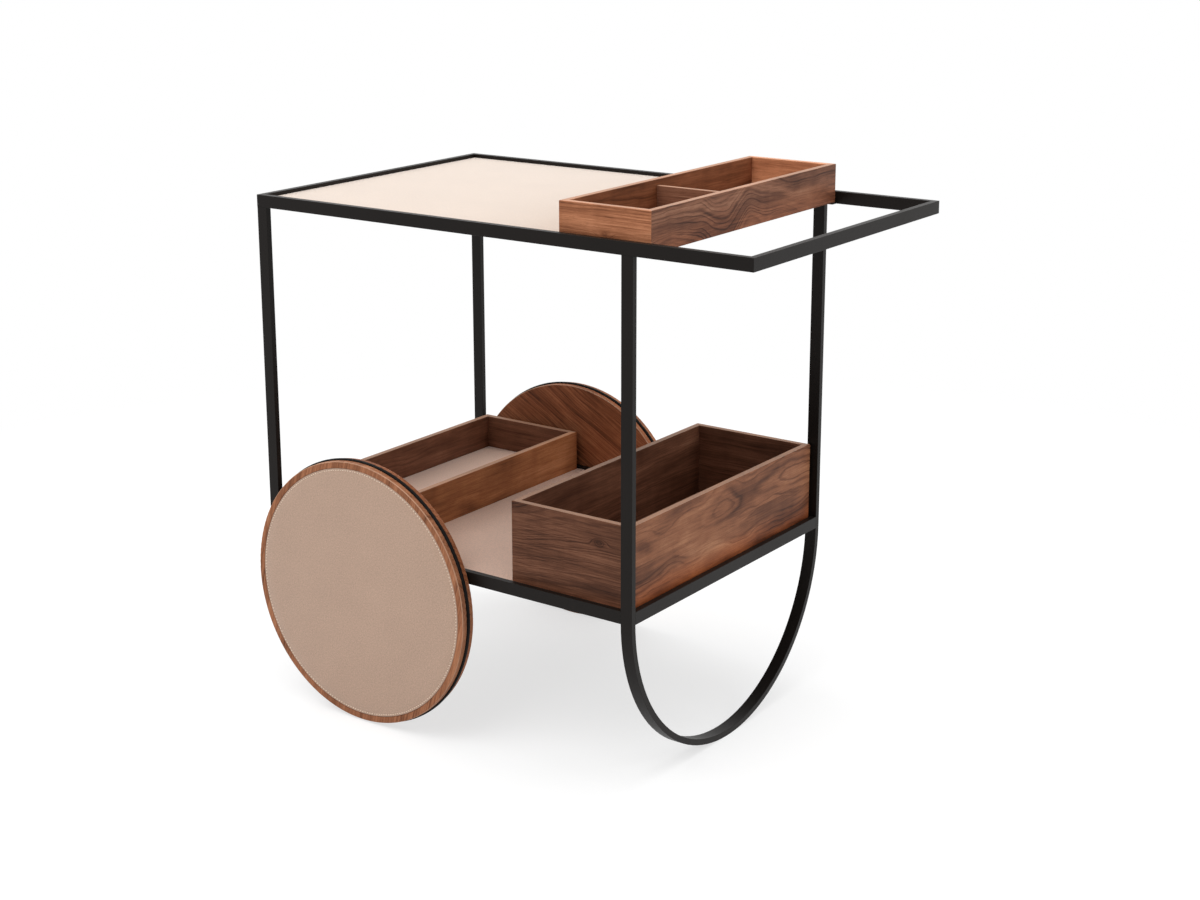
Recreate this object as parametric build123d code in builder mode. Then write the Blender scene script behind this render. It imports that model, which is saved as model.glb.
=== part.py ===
"""Serving trolley: flat-bar frame on two large wheels and a bent U leg, with lift-out walnut trays.

Millimetres. +X points to the handle, +Z up, the floor is Z = 0 and the origin is the middle of the
footprint. Left and right are as seen by a person at the handle: left is -Y, right is +Y.
"""
from build123d import *
import os

# Frame: welded flat bar
frame_length = 931.0
frame_depth = 558.0
frame_height = 850.0
bar_width = 20.0
bar_thickness = 10.0
bar_edge = 0.4
handle_reach = 196.5
lower_rail_drop = 3.5

# Ledges and cross bars that carry the boards and the cutlery tray
ledge_width = 12.0
ledge_thickness = 3.0
cross_bar_width = 25.0
shelf_bar_spacing = 300.0

# Leather covered boards
top_board_length = 582.0
top_board_thickness = 9.0
shelf_board_thickness = 12.0
leather_thickness = 2.0
leather_edge = 0.6
board_clearance = 0.5

# Wood screws that hold the boards to the ledges
screw_radius = 2.0
screw_head_radius = 4.0
screw_length = 9.0
screw_clearance = 0.05
screws_per_side = 4
screw_end_margin = 60.0

# Wheels: two walnut discs with a rubber tyre between them and a leather inlay
tyre_radius = 222.0
tyre_width = 5.5
tyre_depth = 17.0
tyre_crown = 1.5
wheel_thickness = 26.0
wheel_setback = 217.0
wheel_gap = 2.0
tyre_proud = 2.5
wood_edge = 1.2
wood_ring_width = 11.2
inlay_gap = 0.7

# Axle, hub and bearings
journal_radius = 7.5
journal_clearance = 0.04
axle_shoulder = 2.5
bearing_section = 4.5
bearing_width = 5.0
bearing_inset = 2.0
hub_flange_width = 23.0
hub_flange_thickness = 3.0
hub_wall = 5.0
hub_shoulder = 1.5
hub_end_margin = 0.5
hub_web = 2.2
hub_screw_count = 6
fit_clearance = 0.1
washer_overlap = 1.5
washer_thickness = 1.5
bolt_radius = 3.0
bolt_length = 14.0
bolt_head_radius = 5.25
bolt_head_height = 3.0
pocket_clearance = 0.8

# Axle brackets under the lower rails
bracket_inset = 1.0
bracket_top_length = 90.0
bracket_eye_radius = 22.0
bracket_top_height = 8.0

# Walnut trays
wall_thickness = 11.0
wall_edge = 0.6
groove_depth = 5.0
groove_lift = 4.0
bottom_thickness = 6.0
groove_clearance = 0.1
tray_end_clearance = 4.5

cutlery_width = 160.0
cutlery_height = 62.0
cutlery_gap = 3.5
divider_thickness = 8.0
divider_drop = 9.5
divider_offset = 23.0
divider_groove = 4.0

glass_tray_width = 207.0
glass_tray_height = 70.0
glass_tray_setback = 34.0
liner_clearance = 0.3

box_width = 222.0
box_height = 130.0
box_clearance = 1.5
box_end_clearance = 6.0

# Places along X, from the wheel end to the handle
wheel_overhang = max(0.0, tyre_radius - wheel_setback)
overall_length = frame_length + wheel_overhang
wheel_end_x = wheel_overhang - overall_length / 2
handle_end_x = wheel_end_x + frame_length
leg_face_x = handle_end_x - handle_reach
leg_x = leg_face_x - bar_width / 2
post_x = wheel_end_x + bar_width / 2
inner_end_x = wheel_end_x + bar_thickness
inner_leg_x = leg_face_x - bar_thickness
wheel_x = wheel_end_x + wheel_setback

# Places along Y
outer_y = frame_depth / 2
inner_y = outer_y - bar_thickness
bar_y = outer_y - bar_thickness / 2
wheel_inner_y = outer_y + wheel_gap
bracket_thickness = bar_thickness - 2 * bracket_inset
tray_length = 2 * (inner_y - tray_end_clearance)
box_length = 2 * (inner_y - box_end_clearance)

# Heights: the leg's arc stands on the floor and its centre is just above the underside of the lower rails
arc_radius = frame_depth / 2
lower_rail_z = arc_radius - lower_rail_drop
top_rail_z = frame_height - bar_width
top_ledge_z = top_rail_z + ledge_thickness
lower_ledge_z = lower_rail_z + ledge_thickness
shelf_z = lower_ledge_z + shelf_board_thickness + leather_thickness
axle_z = tyre_radius

# Inside the wheel, depths are counted outwards from the inner face
half_wheel = wheel_thickness / 2
rim_thickness = (wheel_thickness - tyre_width) / 2
inlay_floor = wheel_thickness - leather_thickness
pocket_depth = inlay_floor - hub_web
hub_length = pocket_depth - pocket_clearance
journal_end = hub_length - hub_end_margin - bolt_head_height - washer_thickness

# Radii about the axle
tyre_seat_radius = tyre_radius - tyre_depth
wood_radius = tyre_radius - tyre_proud
inlay_radius = wood_radius - wood_ring_width
inlay_seat_radius = inlay_radius + inlay_gap
axle_radius = journal_radius + axle_shoulder
bearing_radius = journal_radius + bearing_section
washer_radius = journal_radius + washer_overlap
hub_shoulder_radius = bearing_radius - hub_shoulder
hub_barrel_radius = bearing_radius + hub_wall
hub_flange_radius = hub_barrel_radius + hub_flange_width
hub_screw_circle = (hub_barrel_radius + hub_flange_radius) / 2
barrel_seat_radius = hub_barrel_radius + fit_clearance
flange_seat_radius = hub_flange_radius + fit_clearance

# Screw holes
screw_hole_radius = screw_radius + screw_clearance
screw_sink_radius = screw_head_radius + screw_clearance
screw_head_height = screw_head_radius - screw_radius

sides = (("left", -1), ("right", 1))


def save(piece, name):
    """Label a finished piece and write it as its own file."""
    piece.part.label = name
    export_step(piece.part, f"parts/{name}.step")


def corner_plane(x, side, towards):
    """Mitre plane through a frame corner; its positive side holds the rail, not the cross member."""
    return Plane(origin=(x, side * outer_y, 0), z_dir=(towards, side, 0))


def even_spacing(length, count):
    """Spacing of a row of screws that keeps the end margin on a board of this length."""
    return (length - 2 * screw_end_margin) / (count - 1)


def wheel_face(side, depth):
    """Plane square to the axle at a depth inside the wheel, looking back to the inner face."""
    face_y = side * (wheel_inner_y + depth)
    return Plane(origin=(wheel_x, face_y, axle_z), x_dir=(1, 0, 0), z_dir=(0, -side, 0))


def wheel_profile(side, points):
    """Half section of a wheel piece: each point is (depth from the inner face, radius)."""
    corners = [(side * (wheel_inner_y + depth), axle_z + radius) for depth, radius in points]
    with BuildSketch(Plane.YZ.offset(wheel_x)) as section:
        with BuildLine():
            Polyline(corners, close=True)
        make_face()
    return section.sketch


def round_edges(piece, above):
    """Round edges of a turned piece with more than this radius."""
    return piece.edges().filter_by(GeomType.CIRCLE).filter_by(lambda edge: edge.radius > above)


os.makedirs("parts", exist_ok=True)
wheel_axis = Axis((wheel_x, 0, axle_z), (0, 1, 0))

# Top frame: two long rails, a bar at the wheel end and the handle, mitred at the corners
for side_name, side in sides:
    with BuildPart() as top_rail:
        with BuildSketch(Plane.YZ.offset(wheel_end_x)):
            with Locations((side * bar_y, frame_height - bar_width / 2)):
                RectangleRounded(bar_thickness, bar_width, bar_edge)
        extrude(amount=frame_length)
        split(bisect_by=corner_plane(wheel_end_x, side, 1), keep=Keep.TOP)
        split(bisect_by=corner_plane(handle_end_x, side, -1), keep=Keep.TOP)
    save(top_rail, f"top_rail_{side_name}")

for bar_name, end_x, towards in (("top_end_bar", wheel_end_x, 1), ("handle_bar", handle_end_x, -1)):
    with BuildPart() as end_bar:
        with BuildSketch(Plane.XZ.offset(-outer_y)):
            with Locations((end_x + towards * bar_thickness / 2, frame_height - bar_width / 2)):
                RectangleRounded(bar_thickness, bar_width, bar_edge)
        extrude(amount=frame_depth)
        for side_name, side in sides:
            split(bisect_by=corner_plane(end_x, side, towards), keep=Keep.BOTTOM)
    save(end_bar, bar_name)

# Posts at the wheel end
for side_name, side in sides:
    with BuildPart() as wheel_post:
        with BuildSketch(Plane.XY.offset(lower_rail_z)):
            with Locations((post_x, side * bar_y)):
                RectangleRounded(bar_width, bar_thickness, bar_edge)
        extrude(amount=top_rail_z - lower_rail_z)
    save(wheel_post, f"wheel_post_{side_name}")

# Leg at the handle end: both posts and the half circle are one bent bar
with BuildPart() as u_leg:
    with BuildSketch(Plane.XY.offset(arc_radius)) as leg_section:
        with Locations((leg_x, -bar_y)):
            RectangleRounded(bar_width, bar_thickness, bar_edge)
    revolve(axis=Axis((leg_x, 0, arc_radius), (1, 0, 0)), revolution_arc=180)
    with BuildSketch(Plane.XY.offset(arc_radius)) as post_sections:
        with Locations((leg_x, -bar_y), (leg_x, bar_y)):
            RectangleRounded(bar_width, bar_thickness, bar_edge)
    extrude(amount=top_rail_z - arc_radius)
save(u_leg, "u_leg")

# Lower frame between the posts
for side_name, side in sides:
    with BuildPart() as lower_rail:
        with BuildSketch(Plane.YZ.offset(wheel_end_x + bar_width)):
            with Locations((side * bar_y, lower_rail_z + bar_width / 2)):
                RectangleRounded(bar_thickness, bar_width, bar_edge)
        extrude(amount=leg_face_x - wheel_end_x - 2 * bar_width)
    save(lower_rail, f"lower_rail_{side_name}")

# The leg curves in below the arc's centre, so its bar is cut to the width at the bar's lower edge
leg_inner_y = (inner_y**2 - lower_rail_drop**2) ** 0.5
lower_bars = (
    ("lower_end_bar", inner_end_x, inner_y),
    ("lower_leg_bar", leg_face_x, leg_inner_y),
)
for bar_name, bar_x, end_y in lower_bars:
    with BuildPart() as lower_bar:
        with BuildSketch(Plane.XZ.offset(-end_y)):
            with Locations((bar_x - bar_thickness / 2, lower_rail_z + bar_width / 2)):
                RectangleRounded(bar_thickness, bar_width, bar_edge)
        extrude(amount=2 * end_y)
    save(lower_bar, bar_name)

# Ledges along the rails, drilled and countersunk from below for the board screws
top_board_x = inner_end_x + top_board_length / 2
top_screw_spacing = even_spacing(top_board_length, screws_per_side)
cutlery_start_x = inner_end_x + top_board_length + cutlery_gap
top_ledge_length = top_board_length + cutlery_gap + cutlery_width
shelf_length = inner_leg_x - inner_end_x
shelf_x = inner_end_x + shelf_length / 2
lower_ledge_length = leg_face_x - bar_width - inner_end_x
shelf_screw_spacing = even_spacing(shelf_length, screws_per_side)
ledge_y = inner_y - ledge_width / 2

ledge_rows = (
    ("top", top_rail_z, top_ledge_length, top_board_x, top_screw_spacing),
    ("lower", lower_rail_z, lower_ledge_length, shelf_x, shelf_screw_spacing),
)
for level, ledge_bottom_z, ledge_length, screw_x, spacing in ledge_rows:
    for side_name, side in sides:
        with BuildPart() as ledge:
            with BuildSketch(Plane.XY.offset(ledge_bottom_z)):
                with Locations((inner_end_x + ledge_length / 2, side * ledge_y)):
                    Rectangle(ledge_length, ledge_width)
            extrude(amount=ledge_thickness)
            underside = Plane(origin=(screw_x, side * ledge_y, ledge_bottom_z), z_dir=(0, 0, -1))
            with Locations(underside):
                with GridLocations(spacing, 0, screws_per_side, 1):
                    CounterSinkHole(screw_hole_radius, screw_sink_radius, counter_sink_angle=90)
        save(ledge, f"{level}_ledge_{side_name}")

# Cross bars between the ledges
cross_bars = (
    ("top_cross_bar", inner_end_x + top_board_length + cutlery_gap / 2, top_rail_z),
    ("lower_cross_bar_wheel", shelf_x - shelf_bar_spacing / 2, lower_rail_z),
    ("lower_cross_bar_leg", shelf_x + shelf_bar_spacing / 2, lower_rail_z),
)
for bar_name, bar_x, bar_z in cross_bars:
    with BuildPart() as cross_bar:
        with BuildSketch(Plane.XY.offset(bar_z)):
            with Locations((bar_x, 0)):
                Rectangle(cross_bar_width, 2 * (inner_y - ledge_width))
        extrude(amount=ledge_thickness)
    save(cross_bar, bar_name)

# Boards and their leather covers
board_depth = 2 * (inner_y - board_clearance)
boards = (
    ("top", top_board_x, top_board_length, top_ledge_z, top_board_thickness, top_screw_spacing),
    ("shelf", shelf_x, shelf_length, lower_ledge_z, shelf_board_thickness, shelf_screw_spacing),
)
for board_name, board_x, board_length, board_z, thickness, spacing in boards:
    with BuildPart() as board:
        with BuildSketch(Plane.XY.offset(board_z)):
            with Locations((board_x, 0)):
                Rectangle(board_length - 2 * board_clearance, board_depth)
        extrude(amount=thickness)
        underside = Plane(origin=(board_x, 0, board_z), z_dir=(0, 0, -1))
        with Locations(underside):
            with GridLocations(spacing, 2 * ledge_y, screws_per_side, 2):
                Hole(screw_hole_radius, depth=screw_length - ledge_thickness + fit_clearance)
    save(board, f"{board_name}_board")

    with BuildPart() as cover:
        with BuildSketch(Plane.XY.offset(board_z + thickness)):
            with Locations((board_x, 0)):
                Rectangle(board_length - 2 * board_clearance, board_depth)
        extrude(amount=leather_thickness)
        fillet(cover.edges().group_by(Axis.Z)[-1], radius=leather_edge)
    save(cover, f"{board_name}_leather")

# Identical wood screws, one group for both boards
with BuildPart() as board_screws:
    for board_name, board_x, board_length, board_z, thickness, spacing in boards:
        head_plane = Plane(origin=(board_x, 0, board_z - ledge_thickness))
        with Locations(head_plane):
            with GridLocations(spacing, 2 * ledge_y, screws_per_side, 2):
                Cylinder(screw_radius, screw_length, align=(Align.CENTER, Align.CENTER, Align.MIN))
                Cone(
                    screw_head_radius,
                    screw_radius,
                    screw_head_height,
                    align=(Align.CENTER, Align.CENTER, Align.MIN),
                )
save(board_screws, "board_screws")

# Axle: one bar across the trolley with a turned journal and a tapped hole at each end
axle_shoulder_y = wheel_inner_y + bearing_inset
axle_end_y = wheel_inner_y + journal_end
with BuildPart() as axle:
    with BuildSketch(Plane(origin=(wheel_x, 0, axle_z), z_dir=(0, 1, 0))):
        Circle(axle_radius)
    extrude(amount=axle_shoulder_y, both=True)
    with BuildSketch(Plane(origin=(wheel_x, 0, axle_z), z_dir=(0, 1, 0))):
        Circle(journal_radius)
    extrude(amount=axle_end_y, both=True)
    for side_name, side in sides:
        with Locations(Plane(origin=(wheel_x, side * axle_end_y, axle_z), z_dir=(0, side, 0))):
            Hole(bolt_radius + screw_clearance, depth=bolt_length + fit_clearance)
save(axle, "axle")

with BuildPart() as axle_washers:
    for side_name, side in sides:
        with BuildSketch(wheel_face(side, journal_end)):
            Circle(washer_radius)
            Circle(bolt_radius + screw_clearance, mode=Mode.SUBTRACT)
        extrude(amount=-washer_thickness)
save(axle_washers, "axle_washers")

with BuildPart() as axle_bolts:
    for side_name, side in sides:
        with BuildSketch(wheel_face(side, journal_end + washer_thickness)):
            Circle(bolt_radius)
        extrude(amount=washer_thickness + bolt_length)
        with BuildSketch(wheel_face(side, journal_end + washer_thickness)):
            Circle(bolt_head_radius)
        extrude(amount=-bolt_head_height)
    head_rims = round_edges(axle_bolts, bolt_radius).group_by(Axis.Y)
    fillet(head_rims[0] + head_rims[-1], radius=bolt_head_height / 2)
save(axle_bolts, "axle_bolts")

# Brackets that hang the axle under the lower rails
for side_name, side in sides:
    with BuildPart() as axle_bracket:
        with BuildSketch(Plane.XZ.offset(-side * bar_y)):
            with Locations((wheel_x, axle_z)):
                Circle(bracket_eye_radius)
            with Locations((wheel_x, lower_rail_z - bracket_top_height / 2)):
                Rectangle(bracket_top_length, bracket_top_height)
            make_hull()
            with Locations((wheel_x, axle_z)):
                Circle(axle_radius + screw_clearance, mode=Mode.SUBTRACT)
        extrude(amount=bracket_thickness / 2, both=True)
    save(axle_bracket, f"axle_bracket_{side_name}")

# Wheels
for side_name, side in sides:
    with BuildPart() as inner_disc:
        add(
            wheel_profile(
                side,
                (
                    (0, flange_seat_radius),
                    (0, wood_radius),
                    (rim_thickness, wood_radius),
                    (rim_thickness, tyre_seat_radius),
                    (half_wheel, tyre_seat_radius),
                    (half_wheel, barrel_seat_radius),
                    (hub_flange_thickness, barrel_seat_radius),
                    (hub_flange_thickness, flange_seat_radius),
                ),
            )
        )
        revolve(axis=wheel_axis)
        fillet(round_edges(inner_disc, wood_radius - wood_edge), radius=wood_edge)
        with Locations(wheel_face(side, hub_flange_thickness)):
            with PolarLocations(hub_screw_circle, hub_screw_count):
                Hole(screw_hole_radius, depth=screw_length - hub_flange_thickness + fit_clearance)
    save(inner_disc, f"wheel_inner_disc_{side_name}")

    with BuildPart() as outer_disc:
        add(
            wheel_profile(
                side,
                (
                    (pocket_depth, 0),
                    (inlay_floor, 0),
                    (inlay_floor, inlay_seat_radius),
                    (wheel_thickness, inlay_seat_radius),
                    (wheel_thickness, wood_radius),
                    (wheel_thickness - rim_thickness, wood_radius),
                    (wheel_thickness - rim_thickness, tyre_seat_radius),
                    (half_wheel, tyre_seat_radius),
                    (half_wheel, barrel_seat_radius),
                    (pocket_depth, barrel_seat_radius),
                ),
            )
        )
        revolve(axis=wheel_axis)
        fillet(round_edges(outer_disc, wood_radius - wood_edge), radius=wood_edge)
    save(outer_disc, f"wheel_outer_disc_{side_name}")

    with BuildPart() as tyre:
        add(
            wheel_profile(
                side,
                (
                    (rim_thickness, tyre_seat_radius + fit_clearance),
                    (rim_thickness, tyre_radius),
                    (rim_thickness + tyre_width, tyre_radius),
                    (rim_thickness + tyre_width, tyre_seat_radius + fit_clearance),
                ),
            )
        )
        revolve(axis=wheel_axis)
        fillet(round_edges(tyre, tyre_radius - tyre_crown), radius=tyre_crown)
    save(tyre, f"wheel_tyre_{side_name}")

    with BuildPart() as inlay:
        with BuildSketch(wheel_face(side, wheel_thickness)):
            Circle(inlay_radius)
        extrude(amount=leather_thickness)
        outer_rim = inlay.edges().filter_by(GeomType.CIRCLE).group_by(Axis.Y)[-1 if side > 0 else 0]
        fillet(outer_rim, radius=leather_edge)
    save(inlay, f"wheel_leather_{side_name}")

    with BuildPart() as hub:
        add(
            wheel_profile(
                side,
                (
                    (0, bearing_radius),
                    (0, hub_flange_radius),
                    (hub_flange_thickness, hub_flange_radius),
                    (hub_flange_thickness, hub_barrel_radius),
                    (hub_length, hub_barrel_radius),
                    (hub_length, bearing_radius),
                    (journal_end - bearing_width, bearing_radius),
                    (journal_end - bearing_width, hub_shoulder_radius),
                    (bearing_inset + bearing_width, hub_shoulder_radius),
                    (bearing_inset + bearing_width, bearing_radius),
                ),
            )
        )
        revolve(axis=wheel_axis)
        with Locations(wheel_face(side, 0)):
            with PolarLocations(hub_screw_circle, hub_screw_count):
                CounterSinkHole(screw_hole_radius, screw_sink_radius, counter_sink_angle=90)
    save(hub, f"wheel_hub_{side_name}")

    with BuildPart() as hub_screws:
        with Locations(wheel_face(side, 0)):
            with PolarLocations(hub_screw_circle, hub_screw_count):
                Cylinder(screw_radius, screw_length, align=(Align.CENTER, Align.CENTER, Align.MAX))
                Cone(
                    screw_radius,
                    screw_head_radius,
                    screw_head_height,
                    align=(Align.CENTER, Align.CENTER, Align.MAX),
                )
    save(hub_screws, f"wheel_hub_screws_{side_name}")

    with BuildPart() as bearings:
        for depth in (bearing_inset, journal_end - bearing_width):
            with BuildSketch(wheel_face(side, depth)):
                Circle(bearing_radius)
                Circle(journal_radius + journal_clearance, mode=Mode.SUBTRACT)
            extrude(amount=-bearing_width)
    save(bearings, f"wheel_bearings_{side_name}")


def make_tray(tray, start_x, floor_z, width, length, height, divider_y=None):
    """Four mitred walls grooved for the bottom panel, and a divider where its place is given."""
    centre_x = start_x + width / 2
    panel_z = floor_z + groove_lift
    panel_top_z = panel_z + bottom_thickness
    panel_width = width - 2 * (wall_thickness - groove_depth)
    panel_length = length - 2 * (wall_thickness - groove_depth)
    divider_width = width - 2 * (wall_thickness - divider_groove)
    divider_height = floor_z + height - divider_drop - panel_top_z

    turns = ((-1, -1), (1, -1), (1, 1), (-1, 1))
    outer = [(centre_x + u * width / 2, v * length / 2) for u, v in turns]
    inner = [(x - u * wall_thickness, y - v * wall_thickness) for (x, y), (u, v) in zip(outer, turns)]
    walls = (("left_end", Axis.X), ("handle_side", Axis.Y), ("right_end", Axis.X), ("wheel_side", Axis.Y))
    for corner, (wall_name, run) in enumerate(walls):
        following = (corner + 1) % len(walls)
        with BuildPart() as wall:
            with BuildSketch(Plane.XY.offset(floor_z)):
                with BuildLine():
                    Polyline(outer[corner], outer[following], inner[following], inner[corner], close=True)
                make_face()
            extrude(amount=height)
            chamfer(wall.edges().filter_by(run).group_by(Axis.Z)[-1], length=wall_edge)
            with BuildSketch(Plane.XY.offset(panel_z)):
                with Locations((centre_x, 0)):
                    Rectangle(panel_width, panel_length)
            extrude(amount=bottom_thickness + groove_clearance, mode=Mode.SUBTRACT)
            if divider_y is not None:
                with BuildSketch(Plane.XY.offset(panel_top_z)):
                    with Locations((centre_x, divider_y)):
                        Rectangle(divider_width, divider_thickness + 2 * groove_clearance)
                extrude(amount=divider_height + groove_clearance, mode=Mode.SUBTRACT)
        save(wall, f"{tray}_{wall_name}")

    with BuildPart() as bottom:
        with BuildSketch(Plane.XY.offset(panel_z)):
            with Locations((centre_x, 0)):
                Rectangle(panel_width - 2 * groove_clearance, panel_length - 2 * groove_clearance)
        extrude(amount=bottom_thickness)
    save(bottom, f"{tray}_bottom")

    if divider_y is not None:
        with BuildPart() as divider:
            with BuildSketch(Plane.XY.offset(panel_top_z)):
                with Locations((centre_x, divider_y)):
                    Rectangle(divider_width - 2 * groove_clearance, divider_thickness)
            extrude(amount=divider_height)
            chamfer(divider.edges().filter_by(Axis.X).group_by(Axis.Z)[-1], length=wall_edge)
        save(divider, f"{tray}_divider")


# Cutlery tray between the top rails, glass tray over the wheels and tall box beside the leg
glass_tray_x = wheel_end_x + glass_tray_setback
box_x = inner_leg_x - box_clearance - box_width
make_tray(
    "cutlery_tray",
    cutlery_start_x,
    top_ledge_z,
    cutlery_width,
    tray_length,
    cutlery_height,
    divider_y=-divider_offset,
)
make_tray("glass_tray", glass_tray_x, shelf_z, glass_tray_width, tray_length, glass_tray_height)
make_tray("tall_box", box_x, shelf_z, box_width, box_length, box_height)

# Leather liner on the glass tray's floor
with BuildPart() as liner:
    with BuildSketch(Plane.XY.offset(shelf_z + groove_lift + bottom_thickness)):
        with Locations((glass_tray_x + glass_tray_width / 2, 0)):
            Rectangle(
                glass_tray_width - 2 * (wall_thickness + liner_clearance),
                tray_length - 2 * (wall_thickness + liner_clearance),
            )
    extrude(amount=leather_thickness)
save(liner, "glass_tray_leather")
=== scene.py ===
"""Looks of the serving trolley: walnut, leather, powder coat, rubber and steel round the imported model.

Metres, in the model's own frame: +X points to the handle, +Z up, the floor is Z = 0.
"""

import math
from dataclasses import dataclass

import bmesh
import bpy
from mathutils import Matrix, Vector
from mathutils import noise as field


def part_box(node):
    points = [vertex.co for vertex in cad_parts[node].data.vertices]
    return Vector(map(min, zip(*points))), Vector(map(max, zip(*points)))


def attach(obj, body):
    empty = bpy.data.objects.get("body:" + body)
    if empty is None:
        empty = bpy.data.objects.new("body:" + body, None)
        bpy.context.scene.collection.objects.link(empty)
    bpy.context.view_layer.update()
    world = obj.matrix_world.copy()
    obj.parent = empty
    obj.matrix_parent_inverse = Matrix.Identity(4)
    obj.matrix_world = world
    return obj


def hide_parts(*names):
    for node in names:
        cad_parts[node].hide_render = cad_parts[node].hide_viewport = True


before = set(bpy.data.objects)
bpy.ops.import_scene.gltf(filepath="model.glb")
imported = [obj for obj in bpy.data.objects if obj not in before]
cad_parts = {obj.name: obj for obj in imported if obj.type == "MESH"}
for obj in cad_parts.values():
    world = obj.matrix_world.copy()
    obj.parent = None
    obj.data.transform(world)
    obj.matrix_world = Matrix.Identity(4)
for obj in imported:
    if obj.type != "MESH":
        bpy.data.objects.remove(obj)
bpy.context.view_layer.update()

MM = 0.001

# Camera, as the photograph was taken
IMAGE_WIDTH = 1200
FOCAL_PIXELS = 1986.6
SENSOR_WIDTH = 36.0
CAMERA_PLACE = Vector((1.8148, -2.5397, 1.3712))
CAMERA_YAW = math.radians(36.924)
CAMERA_PITCH = math.radians(14.438)
CAMERA_ROLL = math.radians(-0.462)
CAMERA_SHIFT = (0.0458, -0.0667)

# Studio: the floor lights the object as pale paint does, and looks white to the camera and in reflections
FLOOR_SIZE = 40.0
FLOOR_BOUNCE = 0.66  # the paint's colour, as it throws light on the object
FLOOR_SEEN = 0.40  # the paint's colour, as it is seen with the shadow on it
FLOOR_GLOW = 0.66  # added to the paint where it is seen
FLOOR_NEAR = 1.1  # distance at which the shadow starts to fade
FLOOR_FAR = 2.2  # distance at which it is gone
SKY_LIGHT = 0.52  # the world's strength, as it lights the object
SKY_SEEN = 1.0  # the world's strength where it is seen, plain white

# Softboxes: name, place, target, width, height, watts
SOFTBOXES = (
    ("softbox_top", (0.3, 0.2, 3.2), (0.0, 0.0, 0.5), 2.6, 2.2, 39.0),
    ("softbox_handle", (3.0, 1.2, 1.8), (0.2, 0.0, 0.5), 1.6, 1.8, 22.0),
    ("softbox_front", (-0.3, -2.0, 3.2), (0.0, 0.0, 0.35), 2.2, 1.8, 43.0),
    ("softbox_wheel", (-2.2, 0.3, 2.5), (0.0, 0.0, 0.3), 1.4, 1.4, 20.0),
)

# Hides: cut edges are rolled over, and the surface is faintly uneven
LEATHER_ROLL = 0.6 * MM
ROLL_STEPS = 5
LEATHER_WAVE = 0.12 * MM
WAVES_PER_METRE = 9
SHEET_STEP = 22 * MM

# Stitching round the wheel hides: slanted stitches in a sewn groove
STITCH_INSET = 3.0 * MM
STITCH_PITCH = 5.2 * MM
STITCH_LENGTH = 2.5 * MM
STITCH_SLANT = math.radians(9.0)
STITCH_GROOVE = 0.45 * MM
GROOVE_HALF_WIDTH = 1.6 * MM
GROOVE_STEPS = 4
GROOVE_MEAN = 1.1  # of the groove's depth
GROOVE_PULL = 0.35  # how much deeper it is where the thread goes through
THREAD_RADIUS = 0.68 * MM
THREAD_RISE = 0.75  # radii that the middle of a stitch stands above the groove
THREAD_DIVE = 1.35  # radii that it falls from there to its ends
THREAD_TAPER = 0.25  # how much thinner its ends are
STEPS_ALONG_STITCH = 6
STEPS_ROUND_THREAD = 8
SEGMENTS_PER_STITCH = 4
INNER_RINGS = (0.25, 0.5, 0.75, 0.9)  # of the wheel hide's radius


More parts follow.
